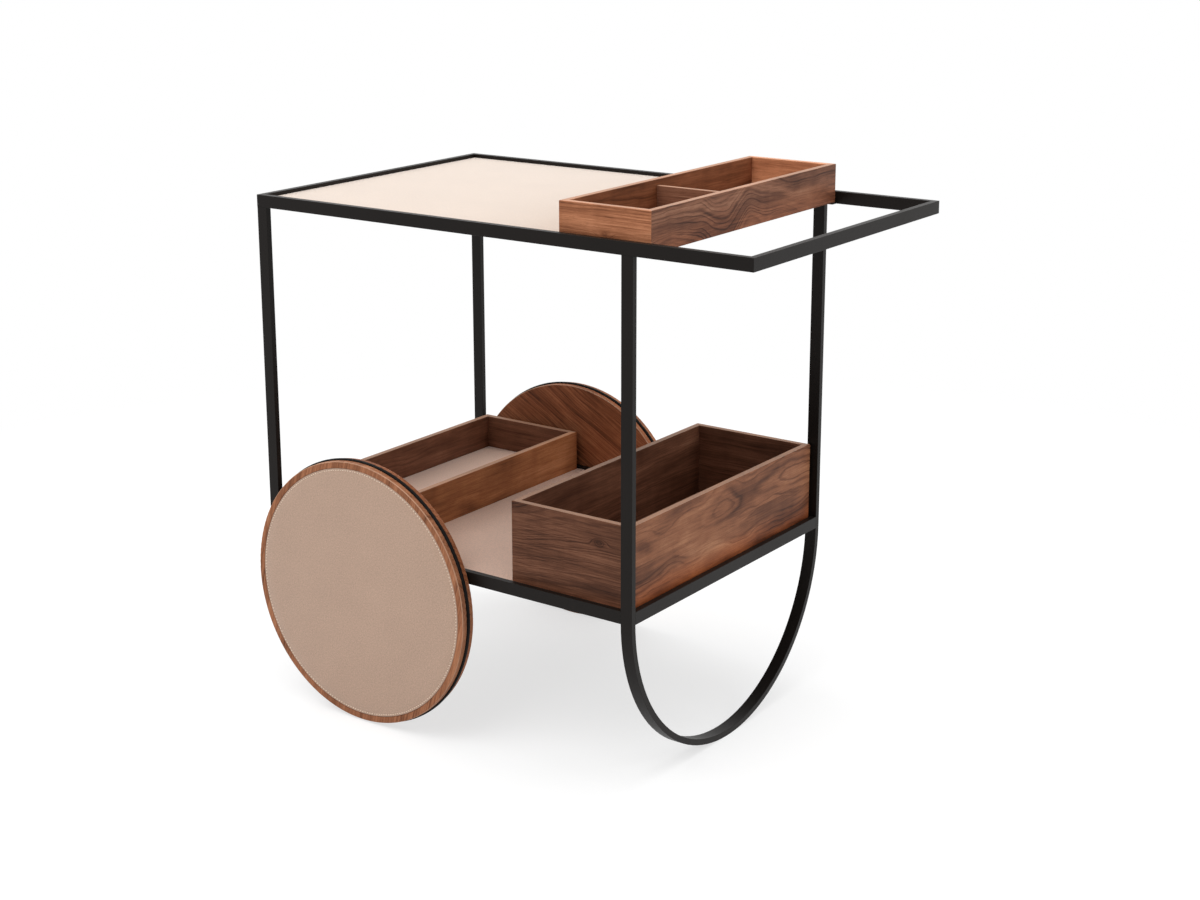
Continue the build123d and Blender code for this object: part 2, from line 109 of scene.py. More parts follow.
class Graph:
    """A new material's node tree, with short calls for the nodes that the finishes use."""

    # Sockets of a Mix node that mixes colours
    MIX_INPUTS = (0, 6, 7)
    MIX_RESULT = 2

    def __init__(self, name):
        self.material = bpy.data.materials.new(name)
        self.material.use_nodes = True
        self.nodes = self.material.node_tree.nodes
        self.links = self.material.node_tree.links
        self.shader = self.nodes["Principled BSDF"]

    def put(self, socket, value):
        """Link a socket to another node's output, or set its value."""
        if isinstance(value, bpy.types.NodeSocket):
            self.links.new(value, socket)
        else:
            socket.default_value = value

    def place(self):
        """The point on the piece, in the model's frame at rest."""
        return self.nodes.new("ShaderNodeTexCoord").outputs["Object"]

    def normal(self):
        """X, Y and Z of the direction that the surface faces."""
        return self.split(self.nodes.new("ShaderNodeNewGeometry").outputs["Normal"])

    def math(self, operation, first, second=0.0, third=0.0):
        node = self.nodes.new("ShaderNodeMath")
        node.operation = operation
        for socket, value in zip(node.inputs, (first, second, third)):
            self.put(socket, value)
        return node.outputs[0]

    def vector(self, operation, first, second=(0.0, 0.0, 0.0), third=(0.0, 0.0, 0.0)):
        node = self.nodes.new("ShaderNodeVectorMath")
        node.operation = operation
        for socket, value in zip(node.inputs, (first, second, third)):
            self.put(socket, value)
        return node.outputs["Value" if operation == "LENGTH" else "Vector"]

    def turn(self, point, rotation):
        node = self.nodes.new("ShaderNodeMapping")
        self.put(node.inputs["Vector"], point)
        node.inputs["Rotation"].default_value = rotation
        return node.outputs["Vector"]

    def split(self, point):
        node = self.nodes.new("ShaderNodeSeparateXYZ")
        self.put(node.inputs[0], point)
        return node.outputs

    def join(self, x, y, z):
        node = self.nodes.new("ShaderNodeCombineXYZ")
        for socket, value in zip(node.inputs, (x, y, z)):
            self.put(socket, value)
        return node.outputs[0]

    def swing(self, base, value, share):
        """The base, swung up and down by a value from 0 to 1."""
        return self.math("MULTIPLY_ADD", self.math("SUBTRACT", value, 0.5), share, base)

    def span(self, value, low, high):
        """A value from 0 to 1 stretched to the range from low to high."""
        return self.math("MULTIPLY_ADD", value, high - low, low)

    def mean(self, first, second):
        return self.math("MULTIPLY_ADD", first, 0.5, self.math("MULTIPLY", second, 0.5))

    def noise(self, point, scale, detail=2.0, seed=0.0, output="Fac", roughness=0.5):
        """Noise of the point; the scale is in cycles per metre, one for all axes or one for each."""
        node = self.nodes.new("ShaderNodeTexNoise")
        node.noise_dimensions = "4D"
        scales = scale if isinstance(scale, tuple) else (scale, scale, scale)
        self.put(node.inputs["Vector"], self.vector("MULTIPLY", point, scales))
        node.inputs["W"].default_value = seed
        node.inputs["Scale"].default_value = 1.0
        node.inputs["Detail"].default_value = detail
        node.inputs["Roughness"].default_value = roughness
        return node.outputs[output]

    def noise_along(self, value, detail=2.0):
        """Noise of one number."""
        node = self.nodes.new("ShaderNodeTexNoise")
        node.noise_dimensions = "1D"
        self.put(node.inputs["W"], value)
        node.inputs["Scale"].default_value = 1.0
        node.inputs["Detail"].default_value = detail
        return node.outputs["Fac"]

    def cells(self, point, scale, feature="F1"):
        """Distance from the nearest cell point or cell edge, for pebbled grain."""
        node = self.nodes.new("ShaderNodeTexVoronoi")
        node.feature = feature
        self.put(node.inputs["Vector"], point)
        node.inputs["Scale"].default_value = scale
        return node.outputs["Distance"]

    def ramp(self, value, *stops):
        """Colours (or greys) at places along a value; each stop is (place, colour)."""
        node = self.nodes.new("ShaderNodeValToRGB")
        self.put(node.inputs[0], value)
        elements = node.color_ramp.elements
        while len(elements) < len(stops):
            elements.new(1.0)
        for element, (place, colour) in zip(elements, stops):
            element.position = place
            element.color = (*colour, 1.0) if isinstance(colour, tuple) else (colour, colour, colour, 1.0)
        return node.outputs[0]

    def two_tone(self, value, dark, pale, low=0.3, high=0.7):
        """From a dark to a pale colour, over the range that most noise keeps to."""
        return self.ramp(value, (low, dark), (high, pale))

    def mix(self, share, first, second, blend="MIX"):
        node = self.nodes.new("ShaderNodeMix")
        node.data_type = "RGBA"
        node.blend_type = blend
        for index, value in zip(self.MIX_INPUTS, (share, first, second)):
            self.put(node.inputs[index], value)
        return node.outputs[self.MIX_RESULT]

    def bump(self, height, depth):
        """Surface relief of a depth in metres."""
        node = self.nodes.new("ShaderNodeBump")
        node.inputs["Strength"].default_value = 1.0
        node.inputs["Distance"].default_value = depth
        self.put(node.inputs["Height"], height)
        return node.outputs["Normal"]

    def finish(self, **sockets):
        """Set or link the shader's own sockets and return the material."""
        for name, value in sockets.items():
            self.put(self.shader.inputs[name.replace("_", " ")], value)
        return self.material


# Walnut: growth rings round a wandering pith, cut by each board where it lay in the log.
# The grain runs along X once a board is turned, so scales are (along, across, across).
ALONG_X = (0.0, 0.0, 0.0)
ALONG_Y = (0.0, 0.0, math.radians(-90))
GLUED_SHIFT = (0.7, 0.0, -0.11)  # where in the log a board above a glued joint came from

# Lightness across one year's ring: pale early wood, then the dark line of late wood
RING_STOPS = ((0.0, 0.58), (0.12, 0.68), (0.55, 0.58), (0.80, 0.10), (0.90, 0.05), (1.0, 0.58))
RING_WAVER = 1.1  # rings that the fine wobble shifts a line by
RING_UNEVEN = 2.6  # rings that wide and narrow years shift it by
UNEVEN_PER_RING = 0.43  # how often wide and narrow years change
UNEVEN_SPREAD = 3.0  # sets one board's years apart from the next one's

# The smoky bands, and the places where ring lines are strong, follow the rings along the board
FLOW_PER_RING = 0.30
FLOW_PER_METRE = 5.0
STRENGTH_SCALE = (0.9, 0.8, 1.0)
STRENGTH_STOPS = ((0.38, 0.12), (0.66, 1.0))

KNOT_STRETCH = 0.55  # a knot's height over its length
KNOT_BULGE = 1.6  # how far the rings bend round it, over its size
KNOT_DARK = 0.28

WAVER_SCALE = (18.0, 60.0, 60.0)
PATCH_SCALE = (9.0, 26.0, 26.0)
PATCH_SHARE = 0.60
CURL_SCALE = (48.0, 9.0, 9.0)
CURL_SHARE = 0.14
FIBRE_SCALE = (14.0, 420.0, 420.0)
PORE_SCALE = (170.0, 3200.0, 3200.0)
PORE_STOPS = ((0.28, 0.55), (0.44, 1.0))
PORE_TONE = 0.7  # of the darkest tone

# Each kind of figure has its own noise, counted from the board's seed
WAVER_SEED = 3
SMOKE_SEED = 5
STRENGTH_SEED = 6
FIBRE_SEED = 7
PATCH_SEED = 8
PORE_SEED = 9
CURL_SEED = 10

# Painted highlights make edges paler: the rounded rim of a disc, by how far it faces along the axle, and the
# upward-facing top of a board
EDGE_HIGHLIGHT_TONE = (0.60, 0.36, 0.24, 1.0)
RIM_HIGHLIGHT_STOPS = ((0.15, 0.0), (0.4, 0.8), (0.85, 0.8), (0.98, 0.0))
TOP_HIGHLIGHT_STARTS = 0.75  # upward part of the normal
TOP_HIGHLIGHT_FULL = 0.95

BLUSH_TINT = (1.35, 0.92, 0.55, 1.0)
BLUSH_WAVER = 30 * MM
WALNUT_ROUGHNESS = (0.40, 0.60)
WALNUT_RELIEF = 0.05 * MM
WALNUT_SPECULAR = 0.13

# Tones run from the dark ring lines to the palest streaks
TONE_PLACES = (0.15, 0.40, 0.62, 0.90)
DARK = ((0.040, 0.014, 0.007), (0.105, 0.040, 0.021), (0.185, 0.076, 0.042), (0.300, 0.140, 0.082))
# painted light: a brown board tone made paler to stand in for light on the glass tray's shaded handle side
BROWN_WITH_PAINTED_LIGHT = ((0.079, 0.026, 0.010), (0.228, 0.083, 0.032), (0.396, 0.154, 0.062), (0.576, 0.256, 0.118))
MID = ((0.048, 0.018, 0.010), (0.145, 0.059, 0.034), (0.260, 0.114, 0.066), (0.410, 0.208, 0.126))
RED = ((0.130, 0.043, 0.019), (0.350, 0.130, 0.060), (0.550, 0.226, 0.112), (0.700, 0.332, 0.181))
AMBER = ((0.112, 0.040, 0.018), (0.296, 0.114, 0.054), (0.459, 0.189, 0.093), (0.581, 0.280, 0.152))
CHESTNUT = ((0.100, 0.031, 0.013), (0.264, 0.089, 0.038), (0.410, 0.147, 0.066), (0.519, 0.218, 0.107))
WARM = ((0.054, 0.019, 0.009), (0.165, 0.062, 0.031), (0.296, 0.120, 0.060), (0.465, 0.218, 0.114))
RUSSET = ((0.084, 0.027, 0.011), (0.204, 0.071, 0.030), (0.324, 0.120, 0.054), (0.456, 0.196, 0.096))
# painted light: a paler copy of RED, standing in for light on the inside of the cutlery tray's right end
RED_WITH_PAINTED_LIGHT = ((0.190, 0.065, 0.030), (0.470, 0.180, 0.085), (0.700, 0.296, 0.147), (0.860, 0.420, 0.234))


@dataclass
class Cut:
    """How a board was cut from the log, how that part of the log grew, and the painted highlight on its
    edges.
    """

    pith: tuple  # (through, up) from the board's centre
    tones: tuple
    seed: float
    along: tuple = ALONG_X  # turn that lays the grain along X
    ring: float = 5 * MM  # a year's growth
    wander: float = 12 * MM  # how far the pith strays
    sway: float = 6.0  # how often, per metre
    slide: float = 0.0  # how far along the log the board lay
    taper: float = 0.0  # how fast the rings run out along the board
    lines: float = 0.30  # strength of the ring lines
    smoke: float = 0.80  # strength of the smoky bands
    fibre: float = 0.75  # strength of the fine streaks
    rim: bool = False  # a turned disc, with a paler painted highlight on its rounded rim
    top_highlight: float = 0.48  # how pale the painted highlight on the top edge is
    joint: float = None  # height of a glued joint
    knot: tuple = None  # (along, up, size)
    blush: tuple = None  # (height where it is full, height where it is gone, share)


def place_in_log(g, face, cut):
    """The point's place in the log; above a glued joint the board came from elsewhere in it."""
    board = g.vector("ADD", face, (cut.slide, 0.0, 0.0))
    if cut.joint is None:
        return board
    above = g.math("GREATER_THAN", g.split(face)[2], cut.joint)
    return g.vector("MULTIPLY_ADD", g.join(above, above, above), GLUED_SHIFT, board)


def knot_share(g, face, knot):
    """1 at the heart of a knot, falling off round it."""
    along, height, size = knot
    apart = g.vector("SUBTRACT", face, (along, 0.0, height))
    apart = g.vector("LENGTH", g.vector("MULTIPLY", apart, (KNOT_STRETCH / size, 0.0, 1.0 / size)))
    return g.math("POWER", math.e, g.math("MULTIPLY", g.math("POWER", apart, 2.0), -1.0))


def growth_rings(g, board, cut, knotted):
    """Rings counted from the pith, unevenly wide, bent round a knot."""
    through, up = cut.pith
    drift = g.noise(board, cut.sway, detail=1.5, seed=cut.seed, output="Color")
    stray = (0.0, 2 * cut.wander, 2 * cut.wander)
    drift = g.vector("MULTIPLY", g.vector("SUBTRACT", drift, (0.5, 0.5, 0.5)), stray)
    across = g.vector("MULTIPLY_ADD", board, (0.0, 1.0, 1.0), (0.0, -through, -up))
    radius = g.vector("LENGTH", g.vector("ADD", across, drift))
    radius = g.math("MULTIPLY_ADD", g.split(board)[0], cut.taper, radius)
    if cut.knot:
        radius = g.math("MULTIPLY_ADD", knotted, KNOT_BULGE * cut.knot[2], radius)
    waver = g.noise(board, WAVER_SCALE, detail=3.0, seed=cut.seed + WAVER_SEED)
    rings = g.math("MULTIPLY_ADD", radius, 1.0 / cut.ring, g.math("MULTIPLY", waver, RING_WAVER))
    years = g.math("MULTIPLY_ADD", rings, UNEVEN_PER_RING, UNEVEN_SPREAD * cut.seed)
    return g.math("MULTIPLY_ADD", g.noise_along(years, detail=1.0), RING_UNEVEN, rings)


def ring_figure(g, board, rings, cut):
    """Smoky bands that follow the rings, with ring lines that are strong in places."""
    along = g.math("MULTIPLY", g.split(board)[0], FLOW_PER_METRE)
    flow = g.join(g.math("MULTIPLY", rings, FLOW_PER_RING), along, 0.0)
    smoke = g.noise(flow, 1.0, detail=3.0, seed=cut.seed + SMOKE_SEED, roughness=0.55)
    strength = g.noise(flow, STRENGTH_SCALE, detail=1.0, seed=cut.seed + STRENGTH_SEED)
    strength = g.ramp(strength, *STRENGTH_STOPS)
    season = g.ramp(g.math("FRACT", rings), *RING_STOPS)
    lines = g.swing(0.0, season, g.math("MULTIPLY", strength, cut.lines))
    return g.math("ADD", g.swing(0.5, smoke, cut.smoke), lines)


def blushed(g, colour, face, patches, blush):
    """The colour, warmer towards the foot of the board."""
    full, gone, most = blush
    height = g.swing(g.split(face)[2], patches, BLUSH_WAVER)
    fade = g.math("DIVIDE", g.math("SUBTRACT", height, full), gone - full)
    share = g.ramp(fade, (0.0, most), (1.0, 0.0))
    return g.mix(share, colour, g.mix(1.0, colour, BLUSH_TINT, blend="MULTIPLY"))


def edge_highlight_share(g, cut):
    """How much of the paler painted edge highlight shows."""
    normal = g.normal()
    if cut.rim:
        return g.ramp(g.math("ABSOLUTE", normal[1]), *RIM_HIGHLIGHT_STOPS)
    return g.ramp(normal[2], (TOP_HIGHLIGHT_STARTS, 0.0), (TOP_HIGHLIGHT_FULL, cut.top_highlight))


def walnut(name, centre, cut):
    """Oiled walnut: ring lines, smoky bands, patches, fibres and open pores; edges carry a paler painted
    highlight.
    """
    g = Graph(name)
    face = g.turn(g.vector("SUBTRACT", g.place(), tuple(centre)), cut.along)
    board = place_in_log(g, face, cut)
    knotted = knot_share(g, face, cut.knot) if cut.knot else 0.0
    rings = growth_rings(g, board, cut, knotted)
    patches = g.noise(board, PATCH_SCALE, detail=3.0, seed=cut.seed + PATCH_SEED)
    curl = g.noise(board, CURL_SCALE, detail=1.0, seed=cut.seed + CURL_SEED)
    fibres = g.noise(board, FIBRE_SCALE, detail=5.0, seed=cut.seed + FIBRE_SEED, roughness=0.70)
    pores = g.noise(board, PORE_SCALE, detail=1.0, seed=cut.seed + PORE_SEED)
    pores = g.ramp(pores, *PORE_STOPS)

    value = ring_figure(g, board, rings, cut)
    value = g.swing(value, patches, PATCH_SHARE)
    value = g.swing(value, fibres, cut.fibre)
    value = g.swing(value, curl, CURL_SHARE)
    value = g.math("MULTIPLY_ADD", knotted, -KNOT_DARK, value)
    colour = g.ramp(value, *zip(TONE_PLACES, cut.tones))
    pore_colour = [PORE_TONE * part for part in cut.tones[0]]
    colour = g.mix(pores, (*pore_colour, 1.0), colour)
    if cut.blush:
        colour = blushed(g, colour, face, patches, cut.blush)
    # painted highlight: the disc's rounded rim and the upward-facing board tops are mixed towards a paler
    # tone
    colour = g.mix(edge_highlight_share(g, cut), colour, EDGE_HIGHLIGHT_TONE)
    return g.finish(
        Base_Color=colour,
        Roughness=g.span(fibres, *WALNUT_ROUGHNESS),
        Normal=g.bump(g.mean(fibres, pores), WALNUT_RELIEF),
        Specular_IOR_Level=WALNUT_SPECULAR,
    )


# Leather: pebbles with painted shade in the creases between them, soft mottling and fine speckles; each copy
# of the hide has its own tint of painted light and shade
HIDE_STOPS = (
    (0.25, (0.460, 0.304, 0.214)),
    (0.55, (0.565, 0.378, 0.271)),
    (0.85, (0.670, 0.455, 0.330)),
)
HIDE_MIDDLE = 0.55
# painted light and shade: the top and shelf copies of the same hide are made paler, the wheel copy darker;
# the glass tray liner uses the shelf copy
TOP_PAINTED_LIGHT = (1.08, 1.15, 1.12)
SHELF_PAINTED_LIGHT = (1.20, 1.12, 1.11)
WHEEL_PAINTED_SHADE = (0.97, 0.94, 0.92)
TOP_SHEEN = 1.0
SHELF_SHEEN = 0.7
WHEEL_SHEEN = 0.7
PEBBLES_PER_METRE = 820.0
PEBBLE_RELIEF = -0.7  # a pebble falls off from its middle
PEBBLE_WARP = (1.6 * MM, 1.6 * MM, 1.6 * MM)
WARP_SCALE = 350.0
CREASE_SHADE_STOPS = ((0.0, 0.82), (0.10, 1.0))
MOTTLE_SCALE = 16.0
MOTTLE_SHARE = 0.25
SPECKLE_SCALE = 430.0
SPECKLE_SHARE = 1.4
SPECKLE_RELIEF = 0.5
HIDE_ROUGHNESS = (0.52, 0.74)
HIDE_RELIEF = 0.10 * MM
HIDE_SPECULAR = 0.50


def leather_finish(name, painted_lighting_tint, sheen):
    """Fine beige hide with a matt sheen, its colour multiplied by a tint of painted light and shade."""
    g = Graph(name)
    place = g.place()
    stray = g.noise(place, WARP_SCALE, output="Color")
    warped = g.vector("MULTIPLY_ADD", stray, PEBBLE_WARP, place)
    pebble = g.cells(warped, PEBBLES_PER_METRE)
    crease = g.cells(warped, PEBBLES_PER_METRE, feature="DISTANCE_TO_EDGE")
    mottle = g.noise(place, MOTTLE_SCALE, detail=5.0, seed=2.0)
    speckle = g.noise(place, SPECKLE_SCALE, detail=3.0, seed=4.0)
    tone = g.swing(g.swing(HIDE_MIDDLE, mottle, MOTTLE_SHARE), speckle, SPECKLE_SHARE)
    # painted light and shade: the hide colour is multiplied by its copy's tint
    colour = g.mix(1.0, g.ramp(tone, *HIDE_STOPS), (*painted_lighting_tint, 1.0), blend="MULTIPLY")
    # painted shade: the colour is darkened in the creases between the pebbles
    colour = g.mix(1.0, colour, g.ramp(crease, *CREASE_SHADE_STOPS), blend="MULTIPLY")
    relief = g.math("MULTIPLY_ADD", pebble, PEBBLE_RELIEF, g.math("MULTIPLY", speckle, SPECKLE_RELIEF))
    return g.finish(
        Base_Color=colour,
        Roughness=g.span(speckle, *HIDE_ROUGHNESS),
        Normal=g.bump(relief, HIDE_RELIEF),
        Sheen_Weight=sheen,
        Specular_IOR_Level=HIDE_SPECULAR,
    )


# Thread
THREAD_DARK = (0.86, 0.71, 0.55)
THREAD_PALE = (0.98, 0.85, 0.70)
TWIST_SCALE = 2600.0
THREAD_ROUGHNESS = (0.5, 0.7)
THREAD_RELIEF = 0.1 * MM


def thread_finish():
    """Waxed linen thread with its twist."""
    g = Graph("stitch_thread")
    twist = g.noise(g.place(), TWIST_SCALE)
    return g.finish(
        Base_Color=g.two_tone(twist, THREAD_DARK, THREAD_PALE),
        Roughness=g.span(twist, *THREAD_ROUGHNESS),
        Normal=g.bump(twist, THREAD_RELIEF),
    )


# Powder coat
COAT_DARK = (0.0052, 0.0036, 0.0028)
COAT_PALE = (0.0094, 0.0067, 0.0053)
PEEL_SCALE = 900.0
GRIT_SCALE = 3500.0
GRIT_RELIEF = 0.3
HAZE_SCALE = 9.0
HAZE_ROUGHNESS = 0.16
COAT_ROUGHNESS = (0.28, 0.38)
COAT_RELIEF = 0.05 * MM
COAT_SPECULAR = 0.15


def powder_coat_finish():
    """Fine matt black powder coat: orange peel and a faint unevenness of gloss."""
    g = Graph("powder_coat_black")
    place = g.place()
    peel = g.noise(place, PEEL_SCALE)
    grit = g.noise(place, GRIT_SCALE, detail=1.0, seed=3.0)
    haze = g.noise(place, HAZE_SCALE, detail=3.0, seed=6.0)
    return g.finish(
        Base_Color=g.two_tone(g.mean(grit, haze), COAT_DARK, COAT_PALE),
        Roughness=g.math("MULTIPLY_ADD", haze, HAZE_ROUGHNESS, g.span(peel, *COAT_ROUGHNESS)),
        Normal=g.bump(g.math("MULTIPLY_ADD", grit, GRIT_RELIEF, peel), COAT_RELIEF),
        Specular_IOR_Level=COAT_SPECULAR,
    )


# Rubber
RUBBER_DARK = (0.0060, 0.0050, 0.0045)
RUBBER_DUSTY = (0.0120, 0.0105, 0.0095)
MOULD_SCALE = 1200.0
DUST_SCALE = 45.0
RUBBER_ROUGHNESS = (0.55, 0.75)
RUBBER_RELIEF = 0.08 * MM
RUBBER_SPECULAR = 0.1


def rubber_finish():
    """Matt black rubber with mould texture and a little dust."""
    g = Graph("tyre_rubber")
    place = g.place()
    grain = g.noise(place, MOULD_SCALE, detail=3.0)
    dust = g.noise(place, DUST_SCALE, detail=4.0, seed=5.0)
    return g.finish(
        Base_Color=g.two_tone(dust, RUBBER_DARK, RUBBER_DUSTY, low=0.35, high=0.75),
        Roughness=g.span(grain, *RUBBER_ROUGHNESS),
        Normal=g.bump(grain, RUBBER_RELIEF),
        Specular_IOR_Level=RUBBER_SPECULAR,
    )


# Steel
STEEL_DARK = (0.44, 0.44, 0.43)
STEEL_PALE = (0.58, 0.58, 0.56)
BRUSH_SCALE = (1500.0, 60.0, 1500.0)
BRUSH_ROUGHNESS = 0.18
ZINC_CLOUD_SCALE = 70.0
STEEL_ROUGHNESS = (0.22, 0.34)
STEEL_RELIEF = 0.02 * MM


def steel_finish():
    """Zinc plated steel, brushed along Y."""
    g = Graph("zinc_steel")
    place = g.place()
    brush = g.noise(place, BRUSH_SCALE, detail=3.0)
    cloud = g.noise(place, ZINC_CLOUD_SCALE, detail=3.0, seed=8.0)
    return g.finish(
        Base_Color=g.two_tone(cloud, STEEL_DARK, STEEL_PALE),
        Metallic=1.0,
        Roughness=g.math("MULTIPLY_ADD", brush, BRUSH_ROUGHNESS, g.span(cloud, *STEEL_ROUGHNESS)),
        Normal=g.bump(brush, STEEL_RELIEF),
    )


# Plywood
PLYWOOD_DARK = (0.022, 0.019, 0.017)
PLYWOOD_PALE = (0.070, 0.060, 0.052)
PLYWOOD_GRAIN_SCALE = (12.0, 260.0, 260.0)
STAIN_SCALE = (3.0, 14.0, 14.0)
PLYWOOD_ROUGHNESS = (0.5, 0.75)
PLYWOOD_RELIEF = 0.08 * MM


def plywood_finish():
    """Black stained plywood: the stain lets the grain of the face show through."""
    g = Graph("stained_plywood")
    place = g.place()
    grain = g.noise(place, PLYWOOD_GRAIN_SCALE, detail=4.0)
    stain = g.noise(place, STAIN_SCALE, detail=3.0, seed=3.0)
    return g.finish(
        Base_Color=g.two_tone(g.mean(stain, grain), PLYWOOD_DARK, PLYWOOD_PALE),
        Roughness=g.span(grain, *PLYWOOD_ROUGHNESS),
        Normal=g.bump(grain, PLYWOOD_RELIEF),
    )


def node_centre(node):
    low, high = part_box(node)
    return (low + high) / 2


def wear(node, material):
    """Give a CAD node its finish."""
    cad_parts[node].data.materials[0] = material


# The boards of the trays
BOARDS = {
    "cutlery_tray_left_end": Cut(
        (0.060, -0.090), RED, 1.3, ring=4.0 * MM, wander=9 * MM, lines=0.42, smoke=0.6, fibre=1.2,
        knot=(0.0, -0.012, 7 * MM),
    ),
    "cutlery_tray_handle_side": Cut(
        (0.012, -0.045), MID, 56.3, ALONG_Y, ring=6.0 * MM, wander=42 * MM, sway=7.5, slide=-20 * MM,
        lines=0.55, smoke=1.0, fibre=0.90, blush=(-0.036, 0.012, 0.50),
    ),
    "cutlery_tray_right_end": Cut((0.050, 0.060), RED_WITH_PAINTED_LIGHT, 7.7, ring=4.0 * MM, wander=9 * MM),
    "cutlery_tray_wheel_side": Cut((-0.060, 0.045), RUSSET, 2.9, ALONG_Y, smoke=1.0),
    "cutlery_tray_divider": Cut((0.090, 0.050), MID, 5.1, ring=4.0 * MM, wander=8 * MM),
    "cutlery_tray_bottom": Cut((0.040, 0.070), MID, 6.4, ALONG_Y, top_highlight=0.0),
    "glass_tray_left_end": Cut((0.060, -0.050), MID, 8.8, ring=4.2 * MM, wander=9 * MM),
    "glass_tray_handle_side": Cut(
        (0.20, 0.060), BROWN_WITH_PAINTED_LIGHT, 3.6, ALONG_Y, ring=6 * MM, wander=8 * MM, lines=0.15, smoke=1.3,
    ),
    "glass_tray_right_end": Cut((0.050, 0.080), DARK, 9.4, ring=4.2 * MM, wander=9 * MM),
    "glass_tray_wheel_side": Cut((-0.070, 0.050), DARK, 0.7, ALONG_Y),
    "glass_tray_bottom": Cut((0.050, 0.060), MID, 2.2, ALONG_Y, top_highlight=0.0),
    "tall_box_left_end": Cut(
        (0.120, 0.110), DARK, 6.1, ring=3.6 * MM, taper=0.04, lines=0.50, smoke=0.7, fibre=1.1,
        knot=(0.052, 0.031, 7 * MM),
    ),
    "tall_box_handle_side": Cut(
        (0.010, -0.078), WARM, 57.3, ALONG_Y, ring=10 * MM, wander=36 * MM, sway=7.0, slide=-30 * MM,
        lines=0.45, smoke=1.2, joint=0.0, blush=(-0.066, -0.024, 0.95),
    ),
    "tall_box_right_end": Cut((0.090, -0.080), DARK, 4.9, ring=4.6 * MM, wander=10 * MM),
    "tall_box_wheel_side": Cut((-0.080, 0.070), DARK, 1.8, ALONG_Y, joint=0.0),
    "tall_box_bottom": Cut((0.050, 0.060), MID, 7.1, ALONG_Y, top_highlight=0.0),
}

# The wheel discs' straight grain slopes across the wheel: slope in degrees, tones, seed
DISC_SLOPES = {
    "wheel_outer_disc_left": (75.0, AMBER, 3.1),
    "wheel_inner_disc_left": (28.0, CHESTNUT, 6.6),
    "wheel_outer_disc_right": (60.0, AMBER, 8.2),
    "wheel_inner_disc_right": (-30.0, CHESTNUT, 1.1),
}


def disc_cut(slope, tones, seed):
    """A wheel disc, sawn far from the pith."""
    along = (0.0, math.radians(slope), 0.0)
    return Cut(
        (0.30, 0.35), tones, seed, along, ring=3.4 * MM, wander=9 * MM, lines=0.40, fibre=1.2, rim=True,
    )


DISCS = {node: disc_cut(*wood) for node, wood in DISC_SLOPES.items()}
for node, cut in {**BOARDS, **DISCS}.items():
    wear(node, walnut("walnut_" + node, node_centre(node), cut))

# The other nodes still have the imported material, which is named after their slot in the record
FINISHES = {
    "powder_coat": powder_coat_finish(),
    "tyre": rubber_finish(),
    "steel": steel_finish(),
    "board": plywood_finish(),
}
for node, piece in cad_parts.items():
    slot = piece.data.materials[0].name
    if slot in FINISHES:
        wear(node, FINISHES[slot])

top_hide = leather_finish("leather_top", TOP_PAINTED_LIGHT, TOP_SHEEN)
shelf_hide = leather_finish("leather_shelf", SHELF_PAINTED_LIGHT, SHELF_SHEEN)
wheel_hide = leather_finish("leather_wheel", WHEEL_PAINTED_SHADE, WHEEL_SHEEN)
thread = thread_finish()


def add_piece(name, mesh_data, material, body):
    """A mesh piece that rides on a body, smooth shaded."""
    mesh = bpy.data.meshes.new(name)
    mesh_data.to_mesh(mesh)
    mesh_data.free()
    mesh.polygons.foreach_set("use_smooth", [True] * len(mesh.polygons))
    mesh.materials.append(material)
    piece = bpy.data.objects.new(name, mesh)
    bpy.context.scene.collection.objects.link(piece)
    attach(piece, body)
    return piece


def roll_insets():
    """Distances in from a cut edge at which its rolled surface has points."""
    angles = [math.pi / 2 * i / ROLL_STEPS for i in range(ROLL_STEPS + 1)]
    return [LEATHER_ROLL * (1 - math.cos(angle)) for angle in angles]


def roll_drop(inset):
    """How far a rolled edge has dropped at this distance in from the edge."""
    short = max(0.0, LEATHER_ROLL - inset)
    return LEATHER_ROLL - math.sqrt(LEATHER_ROLL**2 - short**2)


def edge_steps(length):
    """Places along one side of a sheet: close together over the rolled edges, even between them."""
    rolled = roll_insets()
    flat = length - 2 * LEATHER_ROLL
    count = max(2, round(flat / SHEET_STEP))
    even = [LEATHER_ROLL + flat * i / count for i in range(1, count)]
    return rolled + even + [length - step for step in reversed(rolled)]


def border(grid):
    """The points round the edge of a grid, in order."""
    first_side = [row[0] for row in grid]
    far_side = [row[-1] for row in reversed(grid[:-1])]
    return first_side + grid[-1][1:] + far_side + grid[0][-2:0:-1]


